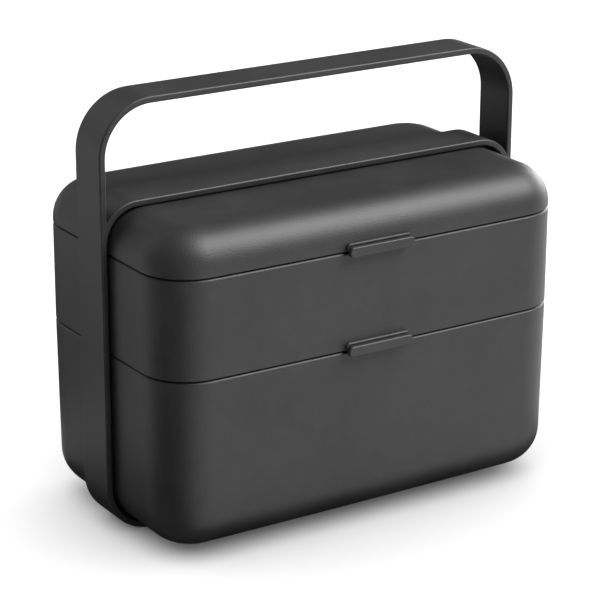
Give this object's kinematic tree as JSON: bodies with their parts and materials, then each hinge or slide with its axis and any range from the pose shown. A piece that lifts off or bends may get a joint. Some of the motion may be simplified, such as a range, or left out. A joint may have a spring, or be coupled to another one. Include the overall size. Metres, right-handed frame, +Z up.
{
  "type": "bento lunch box",
  "caption": "Two-tier rectangular lunch box with rounded corners, a pillow-shaped lid, front latches and a one-piece carrying frame that rings the stack and forms the handle.",
  "frame": {"origin": "on the ground under the middle of the box, at the centre of the underside of the carrying frame's lower bar", "axes": "+X along the long side, +Y from the front with the latches to the back, +Z up"},
  "size_m": [0.2, 0.1142, 0.1815],
  "materials": {
    "charcoal_plastic": "satin moulded, very fine grain",
    "grey_silicone": "matte silicone",
    "light_grey_plastic": "matte moulded"
  },
  "bodies": {
    "box": {"lower_container": "charcoal_plastic", "upper_container": "charcoal_plastic", "lid": "charcoal_plastic", "middle_seal": "grey_silicone", "lid_seal": "grey_silicone", "divider": "light_grey_plastic"},
    "carry_frame": {"carry_frame": "charcoal_plastic"},
    "upper_latch": {"upper_latch": "charcoal_plastic"},
    "lower_latch": {"lower_latch": "charcoal_plastic"}
  },
  "joints": [
    {"name": "frame_slide", "type": "slide", "parent": "box", "child": "carry_frame", "axis": [0, 1, 0], "range_m": [-0.07, 0.07]},
    {"name": "upper_latch_turn", "type": "hinge", "parent": "box", "child": "upper_latch", "pos_m": [0, -0.05725, 0.1219], "axis": [-1, 0, 0], "range_deg": [0, 90]},
    {"name": "lower_latch_turn", "type": "hinge", "parent": "box", "child": "lower_latch", "pos_m": [0, -0.05725, 0.0803], "axis": [-1, 0, 0], "range_deg": [0, 90]}
  ]
}
